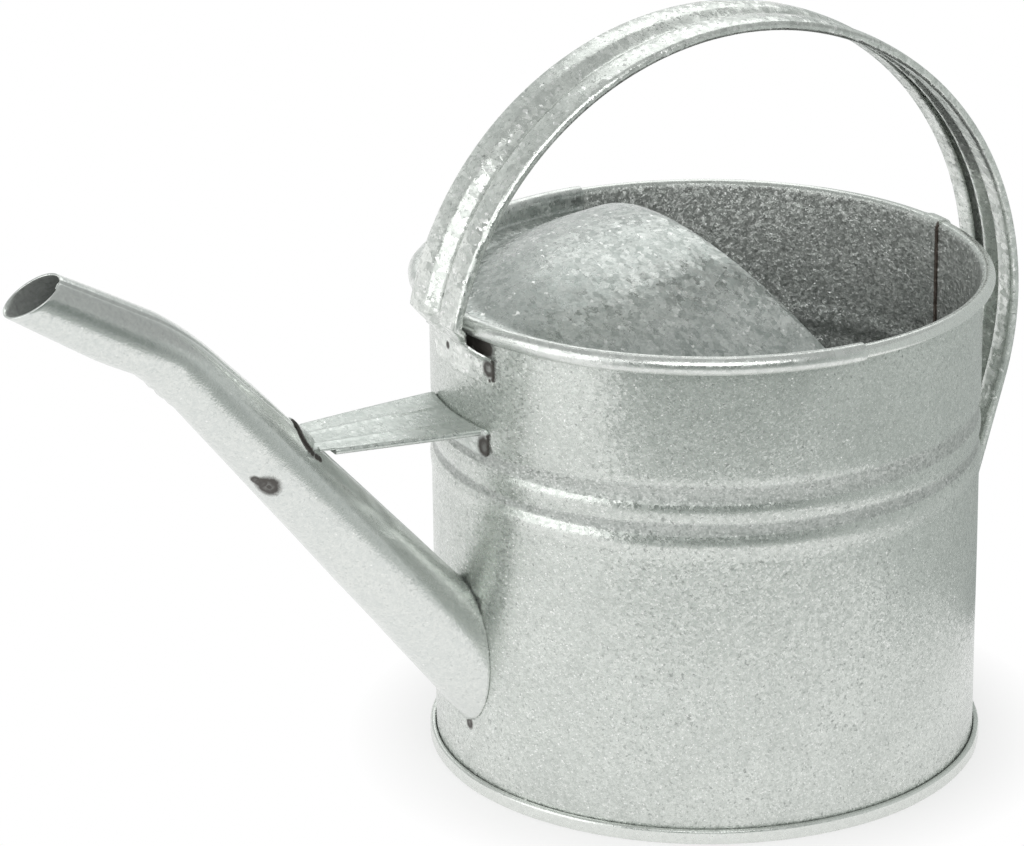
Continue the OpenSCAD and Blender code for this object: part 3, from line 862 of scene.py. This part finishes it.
def make_world():
    """A white backdrop behind the can, white around the horizon elsewhere, then a grey room and ceiling."""
    world = bpy.data.worlds.new("studio")
    world.use_nodes = True
    tree = world.node_tree
    tree.nodes.clear()
    new, link = tree.nodes.new, tree.links.new

    def ramp(stops):
        node = new("ShaderNodeValToRGB")
        link(split.outputs["Z"], node.inputs["Fac"])
        node.color_ramp.interpolation = "EASE"
        while len(node.color_ramp.elements) < len(stops):
            node.color_ramp.elements.new(0.5)
        for element, (position, value) in zip(node.color_ramp.elements, stops):
            tint = 1 if value == 1 else 0.96
            element.position, element.color = position, (value * tint, value, value * (1 + tint) / 2, 1)
        return node

    coords = new("ShaderNodeTexCoord")
    split = new("ShaderNodeSeparateXYZ")
    link(coords.outputs["Generated"], split.inputs[0])
    room = ramp(((0.0, 1.0), (0.04, 1.0), (0.16, 0.4), (0.5, 0.36), (0.8, 0.44), (1.0, 0.44)))
    backdrop = ramp(((0.0, 1.0), (0.04, 1.0), (0.16, 0.65), (0.58, 0.59), (0.82, 0.44), (1.0, 0.44)))
    towards = new("ShaderNodeVectorMath")
    towards.operation = "DOT_PRODUCT"
    towards.inputs[1].default_value = (-0.34, -0.94, 0)
    link(coords.outputs["Generated"], towards.inputs[0])
    behind = new("ShaderNodeMapRange")
    behind.inputs["From Min"].default_value, behind.inputs["From Max"].default_value = 0.3, 0.7
    link(towards.outputs["Value"], behind.inputs["Value"])
    sky = new("ShaderNodeMix")
    sky.data_type = "RGBA"
    link(behind.outputs["Result"], sky.inputs[0])
    link(room.outputs["Color"], sky.inputs[6])
    link(backdrop.outputs["Color"], sky.inputs[7])

    path = new("ShaderNodeLightPath")
    a, b = new("ShaderNodeMath"), new("ShaderNodeMath")
    a.operation = b.operation = "MAXIMUM"
    link(path.outputs["Is Camera Ray"], a.inputs[0])
    link(path.outputs["Is Glossy Ray"], a.inputs[1])
    link(a.outputs[0], b.inputs[0])
    link(path.outputs["Is Transmission Ray"], b.inputs[1])
    seen, soft = new("ShaderNodeBackground"), new("ShaderNodeBackground")
    link(sky.outputs[2], seen.inputs["Color"])
    soft.inputs["Color"].default_value = (1, 1, 1, 1)
    soft.inputs["Strength"].default_value = 0.4
    mix = new("ShaderNodeMixShader")
    link(b.outputs[0], mix.inputs[0])
    link(soft.outputs[0], mix.inputs[1])
    link(seen.outputs[0], mix.inputs[2])
    out = new("ShaderNodeOutputWorld")
    link(mix.outputs[0], out.inputs["Surface"])
    bpy.context.scene.world = world


def make_lamp(name, place, target, size, power):
    """A round area lamp that the camera doesn't see."""
    data = bpy.data.lights.new(name, "AREA")
    data.shape, data.size, data.energy = "DISK", size, power
    lamp = bpy.data.objects.new(name, data)
    bpy.context.scene.collection.objects.link(lamp)
    lamp.location = place
    lamp.visible_camera = False
    lamp.rotation_euler = (Vector(target) - Vector(place)).to_track_quat("-Z", "Y").to_euler()


def make_screen():
    """A grey screen around the can's near side, which only the metal sees. It is darker towards its top
    over the first half of its turn, and evenly grey after that."""
    n = Nodes("screen")
    first, last = math.radians(28), math.radians(225)
    place = n.add("TexCoord").outputs["Object"]
    height = n.range(n.add("SeparateXYZ", Vector=place).outputs[2], 0.02, 0.15)
    level = n.vector("NORMALIZE", n.vector("MULTIPLY", place, (1, 1, 0)))
    along = n.vector("DOT_PRODUCT", level, (math.cos(last), math.sin(last), 0))
    half_way = n.range(along, -0.8, -0.3)
    low = n.mix(half_way, (0.46, 0.495, 0.475, 1), (0.57, 0.6, 0.585, 1))
    low = n.mix(n.range(along, 0.3, 0.95), low, (0.34, 0.37, 0.355, 1))
    high = n.mix(half_way, (0.1, 0.13, 0.115, 1), (0.54, 0.57, 0.555, 1))
    glow = n.add("Emission", Color=n.mix(height, low, high), Strength=1.0)
    n.add("OutputMaterial", Surface=glow.outputs[0])
    top = 0.27
    turns = np.linspace(first, last, 64)
    mesh = bpy.data.meshes.new("screen")
    far = [0.34 - 0.13 * smooth_step(math.radians(95), math.radians(140), t)
           - 0.06 * smooth_step(math.radians(145), math.radians(185), t) for t in turns]
    points = [(r * math.cos(t), r * math.sin(t), z) for t, r in zip(turns, far) for z in (0.001, top)]
    mesh.from_pydata(points, [], [(2 * i, 2 * i + 2, 2 * i + 3, 2 * i + 1) for i in range(len(turns) - 1)])
    mesh.materials.append(n.material)
    screen = bpy.data.objects.new("screen", mesh)
    bpy.context.scene.collection.objects.link(screen)
    screen.visible_camera = screen.visible_diffuse = screen.visible_shadow = False
    screen.visible_transmission = screen.visible_volume_scatter = False


def make_camera():
    """The viewing angle: from +Y and a little from +X, with a long lens that looks down a little."""
    data = bpy.data.cameras.new("camera")
    data.sensor_width, data.lens = 36, 157.55
    data.shift_x, data.shift_y = -0.0231, -0.0240
    data.clip_end = 20
    camera = bpy.data.objects.new("camera", data)
    bpy.context.scene.collection.objects.link(camera)
    yaw, pitch, roll, heading = -0.04027, 0.35321, -0.01010, math.radians(-150)
    forward = Vector((math.sin(yaw) * math.cos(pitch), math.cos(yaw) * math.cos(pitch), -math.sin(pitch)))
    right = Vector((math.cos(yaw), -math.sin(yaw), 0))
    up = right.cross(forward)
    turned = right * math.cos(roll) + up * math.sin(roll)
    up = up * math.cos(roll) - right * math.sin(roll)
    x_axis = Vector((math.cos(heading), math.sin(heading), 0))
    y_axis = Vector((-math.sin(heading), math.cos(heading), 0))

    def local(v):
        return Vector((v.dot(x_axis), v.dot(y_axis), v.z))

    turn = Matrix((local(turned), local(up), local(-forward))).transposed().to_4x4()
    camera.matrix_world = Matrix.Translation((0.6904, 1.1958, 0.6267)) @ turn
    bpy.context.scene.camera = camera


# ---------------------------------------------------------------- the can

make_camera()
make_world()
make_floor()
make_screen()
make_lamp("key", (0.7, 1.35, 1.1), (0, 0, 0.1), 1.5, 14)
make_lamp("fill", (1.6, 0, 0.65), (0, 0, 0.1), 1.6, 8)
make_lamp("back", (-0.6, -1.2, 1.4), (0, 0, 0.1), 1.6, 6)

# Weld burn marks, and patches and lines of painted shade where parts meet. Each is a place, a radius and
# how light its middle is
DRIP_BURN = (90.6, 3.3, 22, 2.6, 0.2)        # on the wall, under the spout's root
# Painted shade: dark patches on the wall in the gap under the handle's front foot
GAP_PAINTED_SHADE = ((89.8, 6, 156.3, 5, 0), (89.2, 12.5, 155.8, 5.5, 0), (88.4, 16.5, 155.4, 3.6, 0))
# Weld burn marks on the handle's front tab; the row of small dark spots along the tab's end at +Y is
# painted edge shade
FOOT_BURNS_AND_SHADE = ((90.4, -7, 149.7, 1.6, 0), (88.9, 18.2, 149.2, 3.6, 0.3), (88.5, 18.6, 145.4, 0.9, 0))
FOOT_BURNS_AND_SHADE += tuple((88.2, 20, 146 + 1.2 * i, 1.1, 0) for i in range(6))
# A weld burn mark on the brace's tab; the row of small dark spots along its end at +Y is painted edge shade
TAB_BURNS_AND_SHADE = ((89.8, 15.6, 122.2, 4.4, 0.2),)
TAB_BURNS_AND_SHADE += tuple((88.8, 17, 120 + 1.2 * i, 1, 0) for i in range(6))
WELD_BURNS = ((161.6, 8.9, 120.4, 4.9, 0.17), (161.3, 8.9, 120.2, 1.3, 0), (163.6, 8.1, 121.7, 3, 0.12),
              (165, 7.4, 122.6, 2.4, 0.1))

WALL = zinc("wall_zinc", (0.76, 0.79, 0.755, 1), (0.53, 0.56, 0.53, 1), 0.8, 0.11, 0.28, grain=0.9,
            pits=0.6, burns_and_shade=(DRIP_BURN,) + GAP_PAINTED_SHADE, dull_inside=WALL_MID, calm_and_sheen_outside=BODY_R, seam=True)
BASE = zinc("base_zinc", (0.76, 0.79, 0.755, 1), (0.54, 0.57, 0.54, 1), 1.2, 0.06, 0.3,
            dull_inside=WALL_MID - 1, calm_and_sheen_outside=BODY_R)
HOOD = zinc("hood_zinc", (0.77, 0.795, 0.77, 1), (0.36, 0.395, 0.375, 1), 1.8, 0.13, 0.32, flecks=0.02,
            pits=0.7, calm_and_sheen_outside=HOOD_MID)
SPOUT = zinc("spout_zinc", (0.82, 0.84, 0.81, 1), (0.69, 0.72, 0.7, 1), 0.9, 0.02, 0.16, flecks=0.002,
             grain=0.3, pits=0.2, burns_and_shade=WELD_BURNS + tongue_burns_and_shade(1.4, -14))
BRACE = zinc("brace_zinc", (0.74, 0.77, 0.74, 1), (0.54, 0.58, 0.55, 1), 1.2, 0.04, 0.34, flecks=0.006,
             pits=0.4, burns_and_shade=TAB_BURNS_AND_SHADE + tongue_burns_and_shade(1.4, 8))
STRAP = zinc("handle_zinc", (0.9, 0.93, 0.89, 1), (0.58, 0.61, 0.58, 1), 2.2, 0.12, 0.26, flecks=0.08,
             pits=0.7, burns_and_shade=FOOT_BURNS_AND_SHADE)

make_wall(WALL)
make_base(BASE)
make_hood(HOOD)
make_spout(SPOUT)
make_brace(BRACE)
make_handle(STRAP)

bpy.context.scene.view_settings.view_transform = "Standard"
